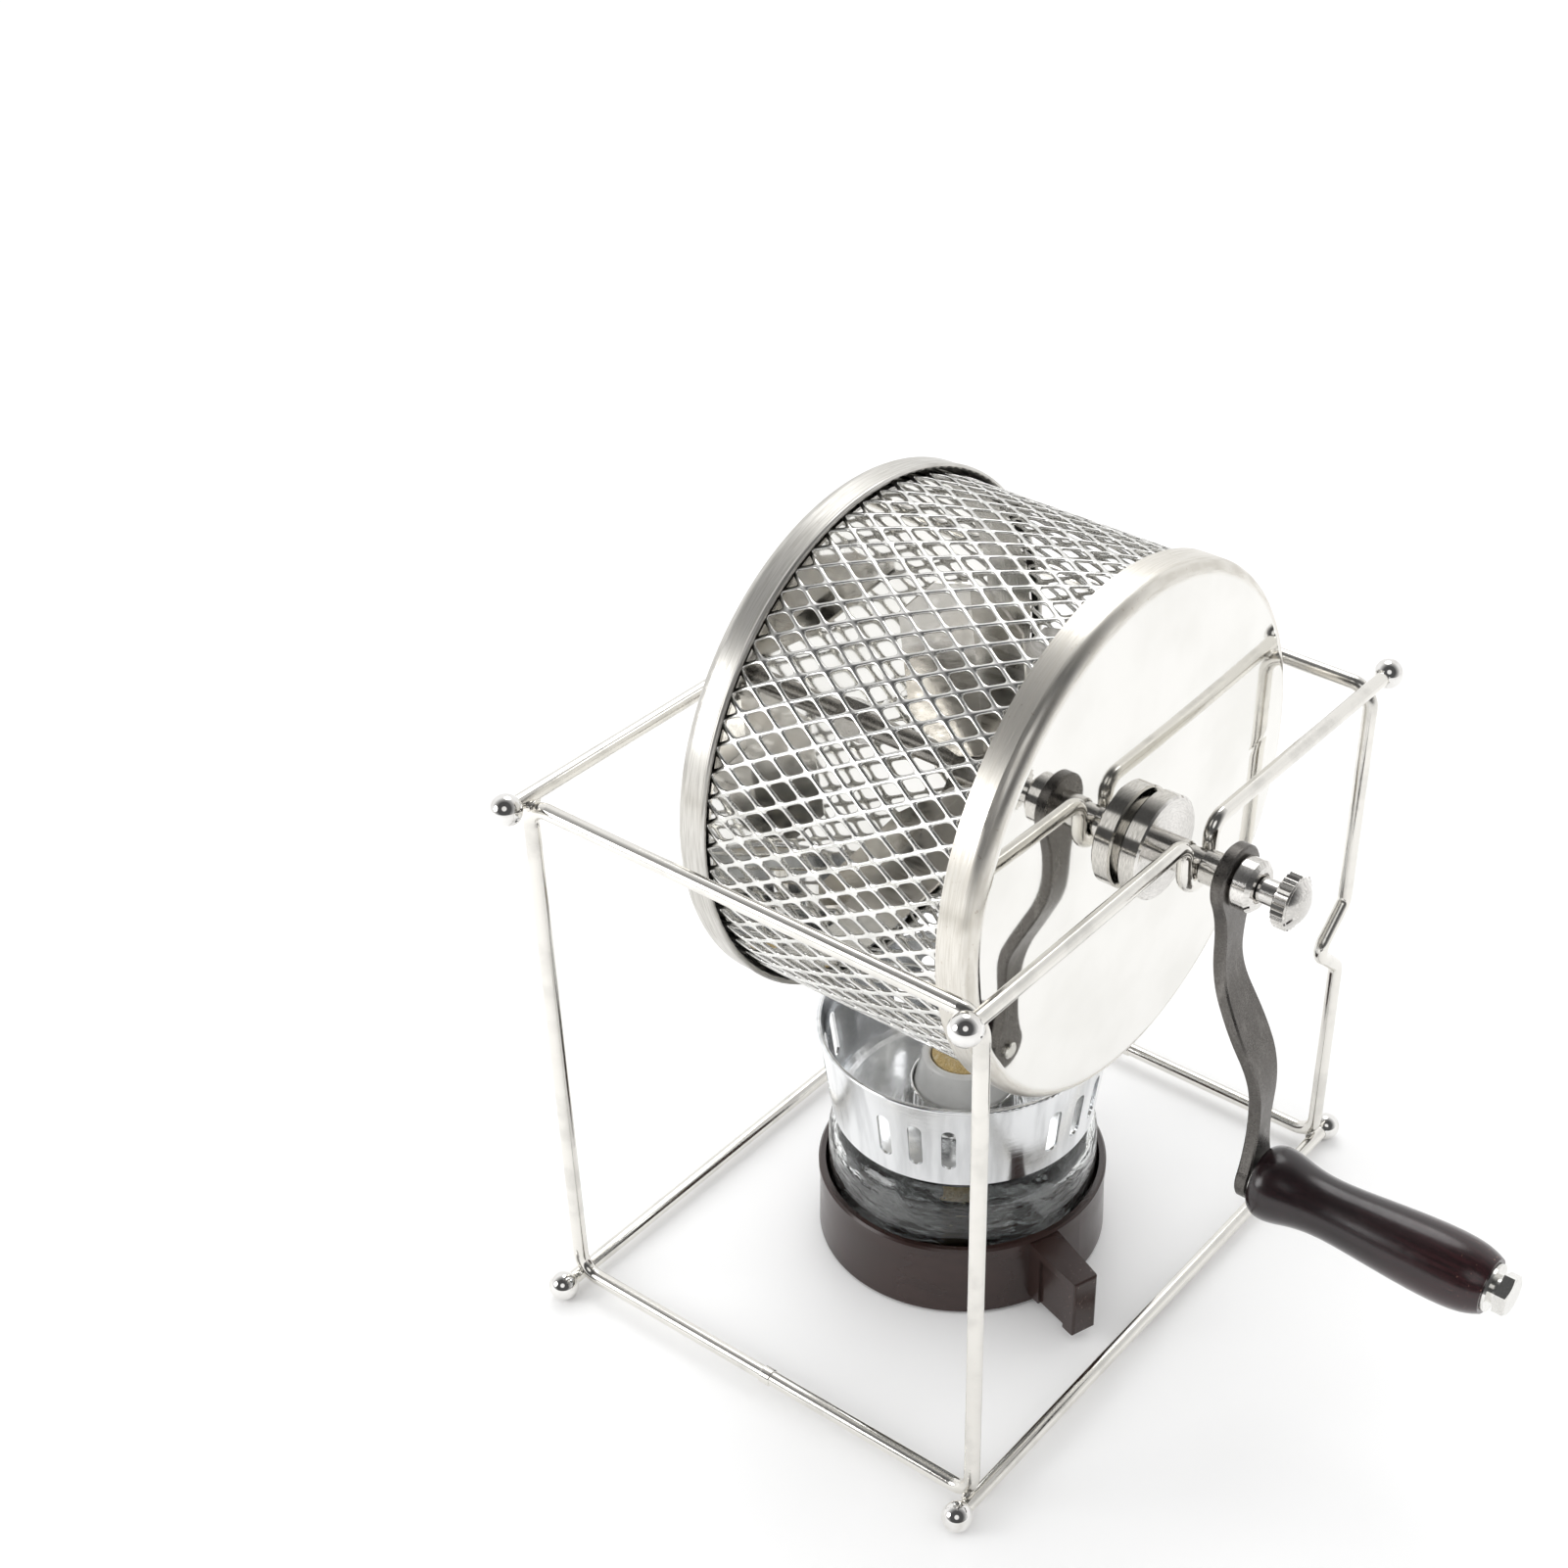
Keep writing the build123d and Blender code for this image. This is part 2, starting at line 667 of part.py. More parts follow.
def thumb_screw():
    """Long screw with a knurled head, through the axle into the drum shaft."""
    head_r = screw_head_d / 2
    root_r = head_r - screw_tooth_depth
    x_back = screw_head_x
    x_front = screw_head_x + screw_head_t
    bevel = 0.7
    dome_r = root_r - 0.6
    tip_x0 = shank_x0 - screw_tip_len
    outline = [
        Polyline(
            (x_front, dome_r),
            (x_front, root_r - bevel / 2),
            (x_front - bevel / 2, root_r),
            (x_back + bevel / 2, root_r),
            (x_back, root_r - bevel / 2),
            (x_back, screw_neck_d / 2),
            (screw_x0, screw_neck_d / 2),
            (screw_x0, screw_shank_d / 2),
            (shank_x0, screw_shank_d / 2),
            (shank_x0, screw_tip_d / 2),
            (tip_x0, screw_tip_d / 2),
            (tip_x0, 0),
            (x_front + screw_dome_t, 0),
        ),
        ThreePointArc(
            (x_front + screw_dome_t, 0),
            (x_front + screw_dome_t * 0.7, dome_r * 0.62),
            (x_front, dome_r),
        ),
    ]
    core = Pos(0, 0, axle_z) * revolve(make_face(outline), Axis.X)
    rim = []
    for i in range(screw_teeth):
        turn = i * 360 / screw_teeth
        rim.append(Vector(head_r, 0).rotate(Axis.Z, turn))
        rim.append(Vector(root_r - 0.05, 0).rotate(Axis.Z, turn + 180 / screw_teeth))
    knurl = extrude(Plane.YZ * make_face(Polyline(*rim, close=True)), screw_head_t - bevel)
    return core + Pos(x_back + bevel / 2, 0, axle_z) * knurl


# ------------------------------------------------------------------ grip

def grip():
    """Turned wooden grip, bulbous by the crank and full in the hand."""
    bore_r = bolt_r + run_gap
    swell = [(0, 0.859), (0.031, 0.975), (0.078, 1), (0.156, 0.899), (0.249, 0.803), (0.358, 0.798),
             (0.514, 0.869), (0.685, 0.944), (0.841, 0.96), (0.942, 0.879), (1, 0.737)]
    stations = [(grip_x0 + share * grip_len, size * grip_d / 2) for share, size in swell]
    side = Spline(*stations)
    outline = make_face([
        Line((grip_x0, bore_r), stations[0]),
        side,
        Line(stations[-1], (grip_x1, bore_r)),
        Line((grip_x1, bore_r), (grip_x0, bore_r)),
    ])
    return Pos(0, 0, end_z) * revolve(outline, Axis.X)


def grip_washer(x0):
    """Washer on the grip's bolt."""
    return ring_x(x0, x0 + grip_washer_t, bolt_r + seat_gap, grip_washer_d / 2, end_z)


def grip_bolt():
    """Shouldered hexagon bolt, peened over behind the arm."""
    x_tail = end_arm_x0 - bolt_peen
    body = turned_x([
        (x_tail, 0),
        (x_tail, bolt_r - 0.4),
        (x_tail + 0.4, bolt_r),
        (shoulder_x, bolt_r),
        (shoulder_x, bolt_shoulder_d / 2),
        (bolt_head_x + 0.5, bolt_shoulder_d / 2),
        (bolt_head_x + 0.5, 0),
    ], end_z)
    x1 = bolt_head_x + bolt_head_t
    corner_r = bolt_head_af / sqrt(3)
    turned = turned_x([
        (bolt_head_x, 0),
        (bolt_head_x, corner_r),
        (x1 - 0.4, corner_r),
        (x1, corner_r - 0.9),
        (x1, 0),
    ], end_z)
    return body + (hexagon_x(bolt_head_x, x1, bolt_head_af, end_z) & turned)


# ------------------------------------------------------------------ burner

def burner_lug():
    """Radial lug that the burner is pulled out by, hollowed on both sides."""
    root_x = base_seat_r + base_wall / 4
    top = make_face(Polyline(
        (root_x, -lug_w_root / 2),
        (lug_reach, -lug_w_end / 2),
        (lug_reach, lug_w_end / 2),
        (root_x, lug_w_root / 2),
        close=True,
    ))
    body = Pos(0, 0, lug_bottom_z) * extrude(top, lug_top_z - lug_bottom_z)
    body = fillet(body.edges().group_by(Axis.X)[-1], 0.8)
    lean = degrees((lug_w_root - lug_w_end) / 2 / (lug_reach - root_x))
    pocket_x0 = base_r + lug_pocket_in
    pocket_x1 = lug_reach - lug_pocket_out
    pocket_len = pocket_x1 - pocket_x0
    middle = (pocket_x0 + pocket_x1) / 2
    share = (middle - root_x) / (lug_reach - root_x)
    half_w = (lug_w_root + (lug_w_end - lug_w_root) * share) / 2
    pocket_h = lug_top_z - lug_bottom_z - 2 * lug_pocket_edge
    pocket = Box(pocket_len, 2 * lug_recess, pocket_h)
    for side in (-1, 1):
        tilted = Rot(0, 0, -side * lean) * pocket
        body -= Pos(middle, side * half_w, lug_bottom_z + pocket_h / 2) * tilted
    return body


def burner_base():
    """Plastic dish that holds the fuel bowl, with its lug."""
    r_low = base_r
    r_top = r_low - base_draft
    lip_z = base_h - base_lip_h
    dish = turned_z([
        (0, 0),
        (r_low - 1.2, 0),
        (r_low, 1.2),
        (r_top, lip_z),
        (r_top + base_lip_out, lip_z + 0.3),
        (r_top + base_lip_out, base_h - 0.6),
        (r_top + base_lip_out - 0.6, base_h),
        (base_seat_r, base_h),
        (base_seat_r, base_floor),
        (0, base_floor),
    ])
    return dish + Rot(0, 0, lug_angle) * burner_lug()


def fuel_bowl():
    """Glass bowl with a rounded shoulder and a short neck."""
    r = bowl_d / 2
    z0 = base_floor
    corner = 4.0
    shoulder = 7.0
    taper = 0.8
    turn = sqrt(0.5)
    r_s = r - taper

    def outline(off, floor_z, neck_r, top_z_):
        low = corner - off
        high = shoulder - off
        z_s = bowl_shoulder_z - shoulder
        return make_face(Plane.XZ * (Curve() + [
            Line((0, floor_z), (r - corner, floor_z)),
            ThreePointArc(
                (r - corner, floor_z),
                (r - corner + low * turn, floor_z + low - low * turn),
                (r - off, floor_z + low),
            ),
            Line((r - off, floor_z + low), (r_s - off, z_s)),
            ThreePointArc(
                (r_s - off, z_s),
                (r_s - shoulder + high * turn, z_s + high * turn),
                (r_s - shoulder, z_s + high),
            ),
            Line((r_s - shoulder, z_s + high), (neck_r, z_s + high)),
            Line((neck_r, z_s + high), (neck_r, top_z_)),
            Line((neck_r, top_z_), (0, top_z_)),
            Line((0, top_z_), (0, floor_z)),
        ]))

    outside = revolve(outline(0, z0, neck_d / 2, neck_top_z), Axis.Z)
    inside = revolve(outline(bowl_wall, z0 + bowl_wall, neck_bore / 2, neck_top_z + 1), Axis.Z)
    return outside - inside


def windshield():
    """Spun aluminium cup round the flame, with groups of air slots."""
    r0 = shield_d_bottom / 2
    r1 = shield_d_top / 2
    corner = 3.0
    w = shield_wall
    slope = (r1 - r0) / (shield_top_z - shield_floor_z)
    r_c = r0 + slope * corner
    cup = turned_z([
        (shield_hole_d / 2, shield_floor_z),
        (r0 - corner, shield_floor_z),
        (r0 - corner * 0.35, shield_floor_z + corner * 0.3),
        (r_c, shield_floor_z + corner),
        (r1, shield_top_z - shield_rim_d / 2),
        (r1 - w, shield_top_z - shield_rim_d / 2),
        (r_c - w, shield_floor_z + corner),
        (r0 - corner * 0.35 - w * 0.7, shield_floor_z + corner * 0.3 + w * 0.7),
        (r0 - corner, shield_floor_z + w),
        (shield_hole_d / 2, shield_floor_z + w),
    ])
    rim_r = shield_rim_d / 2
    rim_at = Pos(r1 - w / 2, shield_top_z - rim_r)
    rim = revolve(Plane.XZ * rim_at * Circle(rim_r), Axis.Z)
    height = slot_z_high - slot_z_low
    middle = (slot_z_high + slot_z_low) / 2
    slot = extrude(Plane.YZ * SlotOverall(height, slot_w, rotation=90), slot_cut)
    cutters = []
    for group in range(shield_groups):
        for place in range(shield_slots):
            step = place - (shield_slots - 1) / 2
            angle = shield_group_angle + group * 360 / shield_groups + step * slot_pitch
            cutters.append(Rot(0, 0, angle) * Pos(r0 - slot_cut / 2, 0, middle) * slot)
    return cup + rim - cutters


def wick_ring():
    """Chrome ring crimped on the bowl's neck, an open cup round the holder."""
    flange_r = ring_flange_d / 2
    neck_r = neck_d / 2 + seat_gap
    r = neck_r + ring_wall
    edge = 0.3
    z0 = bowl_shoulder_z + seat_gap
    z1 = z0 + ring_flange_h
    return turned_z([
        (neck_r, z0),
        (flange_r - edge, z0),
        (flange_r, z0 + edge),
        (flange_r, z1 - edge),
        (flange_r - edge, z1),
        (r + edge, z1 + 2 * edge),
        (r, ring_top_z - edge),
        (r - edge, ring_top_z),
        (neck_r + edge, ring_top_z),
        (neck_r, ring_top_z - edge),
    ])


def wick_holder():
    """Porcelain tube that stands on the neck and holds the wick."""
    r_low = holder_d_bottom / 2
    r_top = holder_d_top / 2
    bore_r = holder_bore / 2
    spigot_r = neck_bore / 2 - wick_gap
    z_seat = neck_top_z + seat_gap
    z_edge = holder_top_z - holder_edge
    turn = sqrt(0.5)
    outline = [
        Polyline(
            (r_top, z_edge),
            (r_low, ring_top_z - 1.0),
            (r_low, z_seat),
            (spigot_r, z_seat),
            (spigot_r, neck_top_z - holder_spigot),
            (bore_r, neck_top_z - holder_spigot),
            (bore_r, z_edge),
        ),
        ThreePointArc(
            (bore_r, z_edge),
            ((bore_r + r_top) / 2, holder_top_z),
            (r_top, z_edge),
        ),
    ]
    return revolve(Plane.XZ * make_face(outline), Axis.Z)


def wick():
    """Bundle of cotton in the holder, with a thinner tail down into the fuel."""
    r = holder_bore / 2 - wick_gap
    tail_r = wick_tail_d / 2
    tail_top = neck_top_z - holder_spigot - 2.0
    top = holder_top_z + wick_tuft
    return turned_z([
        (0, wick_bottom_z),
        (tail_r, wick_bottom_z),
        (tail_r, tail_top - 3.0),
        (r, tail_top),
        (r, holder_top_z - 0.6),
        (r * 0.8, top - 0.15),
        (0, top),
    ])


# ------------------------------------------------------------------ write every piece

os.makedirs("parts", exist_ok=True)

save("side_loop_plain", side_loop(-loop_y, False))
save("side_loop_kinked", side_loop(loop_y, True))
save("top_bar_front", top_bar(bar_x))
save("top_bar_back", top_bar(-bar_x))
save("bottom_bar_front", bottom_bar(bar_x))
save("bottom_bar_back", bottom_bar(-bar_x))
for end_name, sign_x in (("front", 1), ("back", -1)):
    for side_name, sign_y in (("left", -1), ("right", 1)):
        save(f"top_ball_{end_name}_{side_name}", ball(sign_x * bar_x, sign_y * ball_y, top_z))
        save(f"foot_ball_{end_name}_{side_name}", ball(sign_x * bar_x, sign_y * ball_y, foot_z))

save("drum_end_cap", drum_end_cap())
save("drum_mesh", mesh_drum())
save("drum_back_hoop", back_hoop())
save("drum_mouth_ring", mouth_ring())
save("drum_shaft", drum_shaft())
save("drum_shaft_nut", shaft_nut())
save("drum_back_axle", back_axle())
save("blade_hub", blade_hub())
for number in range(blade_count):
    save(f"blade_{number + 1}", blade(number))

save("lid", lid())
save("lid_tube", lid_tube())
save("lid_hub", lid_hub())
save("crank_axle", crank_axle())
save("crank_arm", crank_arm())
save("crank_nut", crank_nut())
save("thumb_screw", thumb_screw())
save("grip", grip())
save("grip_bolt", grip_bolt())
save("grip_washer_inner", grip_washer(inner_washer_x))
save("grip_washer_outer", grip_washer(outer_washer_x))

save("burner_base", burner_base())
save("fuel_bowl", fuel_bowl())
save("windshield", windshield())
save("wick_ring", wick_ring())
save("wick_holder", wick_holder())
save("wick", wick())
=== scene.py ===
import json
import random
from math import cos, hypot, pi, radians, sin, sqrt

import bmesh
import bpy
from mathutils import Matrix, Vector, noise


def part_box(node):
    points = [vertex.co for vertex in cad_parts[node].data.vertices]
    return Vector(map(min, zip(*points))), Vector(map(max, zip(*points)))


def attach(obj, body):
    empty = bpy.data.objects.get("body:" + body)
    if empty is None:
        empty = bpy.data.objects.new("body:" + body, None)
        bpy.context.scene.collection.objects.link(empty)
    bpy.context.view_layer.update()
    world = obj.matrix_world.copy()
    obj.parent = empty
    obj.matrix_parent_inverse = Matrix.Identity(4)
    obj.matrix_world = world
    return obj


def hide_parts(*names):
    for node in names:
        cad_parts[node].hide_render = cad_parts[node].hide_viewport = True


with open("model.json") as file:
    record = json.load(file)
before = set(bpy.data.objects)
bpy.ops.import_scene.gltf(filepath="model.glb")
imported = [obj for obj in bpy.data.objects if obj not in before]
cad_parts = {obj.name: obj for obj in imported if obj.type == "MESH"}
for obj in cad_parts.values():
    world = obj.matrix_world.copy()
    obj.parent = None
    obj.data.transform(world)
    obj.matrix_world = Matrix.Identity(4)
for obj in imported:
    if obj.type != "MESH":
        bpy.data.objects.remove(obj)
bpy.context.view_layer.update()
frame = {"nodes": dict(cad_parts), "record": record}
NODES = frame["nodes"]
MM = 0.001

# ------------------------------------------------------------------ sizes read from the frame


def low(node):
    """Lowest corner of a CAD node, in millimetres."""
    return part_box(node)[0] / MM


def high(node):
    """Highest corner of a CAD node, in millimetres."""
    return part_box(node)[1] / MM


AXLE_Z = (low("lid").z + high("lid").z) / 2
GRIP_Z = (low("grip").z + high("grip").z) / 2

# ------------------------------------------------------------------ photograph's camera

PHOTO_SIDE = 1601
CAMERA_AT = (298.4, -412.5, 481.1)     # millimetres from the table's origin
CAMERA_AZIMUTH = 33.78                 # degrees, how far the view turns from +Y towards -X
CAMERA_ELEVATION = 37.64
CAMERA_ROLL = 2.303
FOCAL_PIXELS = 2485.9
CENTRE_PIXEL = (1058.6, 990.1)
SENSOR = 36.0
NEAR_CLIP = 0.01
FAR_CLIP = 20


def add_camera():
    """Camera where the photograph was taken from."""
    data = bpy.data.cameras.new("camera")
    data.sensor_width = SENSOR
    data.lens = FOCAL_PIXELS / PHOTO_SIDE * SENSOR
    data.shift_x = (PHOTO_SIDE / 2 - CENTRE_PIXEL[0]) / PHOTO_SIDE
    data.shift_y = (CENTRE_PIXEL[1] - PHOTO_SIDE / 2) / PHOTO_SIDE
    data.clip_start = NEAR_CLIP
    data.clip_end = FAR_CLIP
    camera = bpy.data.objects.new("camera", data)
    bpy.context.scene.collection.objects.link(camera)
    azimuth = radians(CAMERA_AZIMUTH)
    elevation = radians(CAMERA_ELEVATION)
    ahead = cos(elevation)
    look = Vector((-sin(azimuth) * ahead, cos(azimuth) * ahead, -sin(elevation)))
    level = Vector((cos(azimuth), sin(azimuth), 0))
    up = level.cross(look)
    turn = Matrix.Rotation(radians(CAMERA_ROLL), 3, -look)
    level = turn @ level
    up = turn @ up
    axes = Matrix((level, up, -look)).transposed()
    camera.matrix_world = Matrix.Translation(Vector(CAMERA_AT) * MM) @ axes.to_4x4()
    bpy.context.scene.camera = camera


add_camera()

# ------------------------------------------------------------------ node materials

END_SHARE = 0.9          # how much of the distance from the axis counts in a turned line
ABOVE_ZERO = 1e-4        # keeps the distance from the axis off zero


class Shader:
    """A node material with short calls for adding and joining nodes."""

    def __init__(self, name):
        self.material = bpy.data.materials.new(name)
        self.material.use_nodes = True
        self.tree = self.material.node_tree
        self.tree.nodes.clear()
        self.output = self.tree.nodes.new("ShaderNodeOutputMaterial")
        self.coordinates = self.tree.nodes.new("ShaderNodeTexCoord").outputs["Object"]

    def node(self, kind, **settings):
        """New node of a kind, with its settings."""
        made = self.tree.nodes.new("ShaderNode" + kind)
        for key, value in settings.items():
            setattr(made, key, value)
        return made

    def join(self, source, socket):
        """Link an output to an input, or set a plain value on it."""
        if isinstance(source, bpy.types.NodeSocket):
            self.tree.links.new(source, socket)
        else:
            socket.default_value = source

    def scaled(self, size):
        """Object coordinates in millimetres, stretched by size along each axis."""
        mapping = self.node("Mapping")
        self.join(self.coordinates, mapping.inputs["Vector"])
        mapping.inputs["Scale"].default_value = [1 / (s * MM) for s in size]
        return mapping.outputs["Vector"]

    def noise(self, size, detail=3.0, rough=0.5, at=None):
        """Noise whose blotches are about size millimetres along each axis."""
        made = self.node("TexNoise")
        self.join(self.scaled(size) if at is None else at, made.inputs["Vector"])
        made.inputs["Scale"].default_value = 1.0
        made.inputs["Detail"].default_value = detail
        made.inputs["Roughness"].default_value = rough
        return made.outputs["Fac"]

    def even_noise(self, size, detail=3.0, rough=0.5):
        """Noise of the same size along all three axes."""
        return self.noise((size, size, size), detail, rough)

    def cells(self, size):
        """Distance to the nearest of scattered points, about size millimetres apart."""
        made = self.node("TexVoronoi")
        self.join(self.scaled((size, size, size)), made.inputs["Vector"])
        made.inputs["Scale"].default_value = 1.0
        return made.outputs["Distance"]

    def spread(self, value, low_in, high_in, low_out=0, high_out=1):
        """Map a value smoothly from one range to another, held at the ends."""
        made = self.node("MapRange", interpolation_type="SMOOTHSTEP")
        self.join(value, made.inputs["Value"])
        made.inputs["From Min"].default_value = low_in
        made.inputs["From Max"].default_value = high_in
        made.inputs["To Min"].default_value = low_out
        made.inputs["To Max"].default_value = high_out
        return made.outputs["Result"]

    def math(self, operation, first, second=0.0):
        """One Math node on sockets or plain numbers."""
        made = self.node("Math", operation=operation)
        self.join(first, made.inputs[0])
        self.join(second, made.inputs[1])
        return made.outputs[0]

    def plus(self, first, second):
        """Sum of two values."""
        return self.math("ADD", first, second)

    def times(self, first, second):
        """Product of two values."""
        return self.math("MULTIPLY", first, second)

    def blend(self, factor, first, second):
        """Mix of two colours."""
        made = self.node("Mix", data_type="RGBA")
        self.join(factor, made.inputs["Factor"])
        self.join(colour(first), made.inputs["A"])
        self.join(colour(second), made.inputs["B"])
        return made.outputs["Result"]

    def position(self):
        """The three object coordinates in millimetres."""
        split = self.node("SeparateXYZ")
        self.join(self.scaled((1, 1, 1)), split.inputs[0])
        return split.outputs

    def round_axis(self, axis, centre=0.0):
        """Distance along an axis, distance from it and direction round it, in millimetres."""
        x, y, z = self.position()
        along, u, v = (x, y, self.math("SUBTRACT", z, centre)) if axis == "X" else (z, x, y)
        squares = self.plus(self.times(u, u), self.times(v, v))
        radius = self.math("SQRT", self.plus(squares, ABOVE_ZERO))
        return along, radius, self.math("DIVIDE", u, radius), self.math("DIVIDE", v, radius)

    def lathe_lines(self, polar, fine, around, detail=2.0):
        """Noise drawn out round an axis: fine millimetres across, varying around times."""
        along, radius, c, s = polar
        across = self.plus(along, self.times(radius, END_SHARE))
        joined = self.node("CombineXYZ")
        self.join(self.math("DIVIDE", across, fine), joined.inputs[0])
        self.join(self.times(c, around), joined.inputs[1])
        self.join(self.times(s, around), joined.inputs[2])
        return self.noise(None, detail=detail, at=joined.outputs[0])

    def bump(self, height, strength, depth, normal=None):
        """Bump whose full height is depth millimetres."""
        made = self.node("Bump")
        made.inputs["Strength"].default_value = strength
        made.inputs["Distance"].default_value = depth * MM
        self.join(height, made.inputs["Height"])
        if normal is not None:
            self.join(normal, made.inputs["Normal"])
        return made.outputs["Normal"]

    def surface(self, **values):
        """Principled surface with the given sockets set or linked."""
        made = self.node("BsdfPrincipled")
        for name, value in values.items():
            self.join(value, made.inputs[name.replace("_", " ")])
        self.tree.links.new(made.outputs["BSDF"], self.output.inputs["Surface"])
        return self.material


def colour(value):
    """Pad a written colour to four numbers, and pass a socket through."""
    if isinstance(value, bpy.types.NodeSocket):
        return value
    return tuple(value) + (1.0,) * (4 - len(value))


def wire_material(name, tint, dull):
    """Drawn stainless wire: bright, with small dull smudges and a fine grain."""
    s = Shader(name)
    smudge = s.even_noise(9, detail=4)
    fine = s.even_noise(0.6)
    tone = s.blend(s.spread(smudge, 0.45, 0.72), tint, [t * dull for t in tint])
    rough = s.plus(s.spread(smudge, 0.35, 0.7, 0.07, 0.2), s.spread(fine, 0.3, 0.8, 0, 0.09))
    return s.surface(Base_Color=tone, Metallic=1.0, Roughness=rough,
                     Normal=s.bump(fine, 0.25, 0.03))


def ball_material():
    """Polished balls with a few hairline scratches."""
    clean, filmed = (0.86, 0.85, 0.83), (0.72, 0.70, 0.67)
    s = Shader("ball_steel")
    film = s.even_noise(3, detail=4)
    scratch = s.spread(s.noise((0.15, 2.5, 0.5), detail=2), 0.62, 0.7)
    rough = s.plus(s.spread(film, 0.4, 0.7, 0.02, 0.07), s.times(scratch, 0.08))
    tone = s.blend(s.spread(film, 0.4, 0.75), clean, filmed)
    return s.surface(Base_Color=tone, Metallic=1.0, Roughness=rough)


RIM_FROM = 64.6          # distance from the axle where a pan's polished face gives way to its rim
RIM_FULL = 66.4


def pressed_material(name, rim_bright, rim_dim, specks):
    """Pressed pan: a face polished nearly to a mirror and a brushed rim with brown specks."""
    face_clean, face_clouded = (0.88, 0.87, 0.84), (0.82, 0.81, 0.775)
    speck_brown = (0.34, 0.25, 0.17)
    s = Shader(name)
    polar = s.round_axis("X", AXLE_Z)
    rim = s.spread(polar[1], RIM_FROM, RIM_FULL)
    brushed = s.lathe_lines(polar, 0.35, 9)
    cloud = s.even_noise(26)
    hair = s.noise((0.5, 0.35, 14))
    pin_heads = s.spread(s.even_noise(1.4, detail=5, rough=0.7), 0.60, 0.72)
    speck = s.times(pin_heads, s.spread(s.even_noise(11, detail=2), 0.42, 0.62, 0.1, 1))
    face_tone = s.blend(s.spread(cloud, 0.35, 0.7), face_clean, face_clouded)
    rim_tone = s.blend(s.spread(brushed, 0.3, 0.75), rim_bright, rim_dim)
    rim_tone = s.blend(s.times(speck, specks), rim_tone, speck_brown)
    rough = s.node("Mix", data_type="FLOAT")
    s.join(rim, rough.inputs["Factor"])
    s.join(s.plus(s.spread(cloud, 0.3, 0.7, 0.02, 0.045), s.spread(hair, 0.55, 0.8, 0, 0.04)),
           rough.inputs["A"])
    s.join(s.spread(brushed, 0.25, 0.8, 0.28, 0.4), rough.inputs["B"])
    return s.surface(Base_Color=s.blend(rim, face_tone, rim_tone), Metallic=1.0,
                     Roughness=rough.outputs["Result"],
                     Normal=s.bump(s.times(brushed, rim), 0.3, 0.04))


def satin_round(name, bright, dim, fine, rough, axis="X", centre=AXLE_Z, depth=0.03):
    """Steel brushed round an axis, its roughness between the two given."""
    s = Shader(name)
    brushed = s.lathe_lines(s.round_axis(axis, centre), fine, 7, detail=3)
    cloud = s.even_noise(14)
    mixed = s.plus(s.times(brushed, 0.6), s.times(cloud, 0.4))
    return s.surface(Base_Color=s.blend(s.spread(mixed, 0.36, 0.62), bright, dim),
                     Metallic=1.0, Roughness=s.spread(mixed, 0.35, 0.65, *rough),
                     Normal=s.bump(brushed, 0.35, depth))


def mesh_material():
    """Expanded sheet: bright strands with duller patches and a fine grain."""
    bright, dull = (0.82, 0.815, 0.79), (0.66, 0.655, 0.63)
    s = Shader("mesh_steel")
    patch = s.even_noise(7)
    grain = s.even_noise(0.5)
    tone = s.blend(s.spread(patch, 0.4, 0.7), bright, dull)
    rough = s.plus(s.spread(patch, 0.35, 0.7, 0.12, 0.24), s.spread(grain, 0.4, 0.8, 0, 0.12))
    return s.surface(Base_Color=tone, Metallic=1.0, Roughness=rough,
                     Normal=s.bump(grain, 0.3, 0.04))


def blade_material():
    """Satin sheet, a little browned in patches by heat."""
    bright, dull, browned = (0.74, 0.72, 0.68), (0.64, 0.62, 0.58), (0.55, 0.48, 0.39)
    s = Shader("blade_steel")
    lines = s.noise((18, 1.6, 1.6), detail=2)
    heat = s.even_noise(16, detail=2)
    tone = s.blend(s.spread(lines, 0.3, 0.7), bright, dull)
    tone = s.blend(s.spread(heat, 0.45, 0.75, 0, 0.3), tone, browned)
    return s.surface(Base_Color=tone, Metallic=1.0, Roughness=s.spread(lines, 0.3, 0.7, 0.1, 0.2),
                     Normal=s.bump(lines, 0.1, 0.02))


def arm_material():
    """Forged bar: dark scale with a speckled grain and brighter rubbed patches."""
    dark, grey, rubbed = (0.115, 0.108, 0.10), (0.19, 0.18, 0.17), (0.32, 0.305, 0.285)
    s = Shader("dark_steel")
    grain = s.even_noise(0.45, detail=5, rough=0.7)
    scale = s.noise((3.5, 3.5, 8), detail=4)
    rub = s.spread(s.noise((5, 5, 16), detail=4, rough=0.65), 0.52, 0.72)
    tone = s.blend(s.spread(grain, 0.35, 0.7), dark, grey)
    tone = s.blend(s.times(rub, 0.35), tone, rubbed)
    rough = s.plus(s.spread(scale, 0.3, 0.7, 0.2, 0.34), s.spread(grain, 0.3, 0.8, 0, 0.12))
    normal = s.bump(grain, 0.5, 0.06, s.bump(scale, 0.35, 0.12))
    return s.surface(Base_Color=tone, Metallic=1.0, Roughness=rough, Normal=normal)


RED_FROM = 22            # distance from the grip's inner end where the wood starts to redden
CHIPS_FROM = 9           # distances from its free end between which the chips come in
CHIPS_FULL = 2


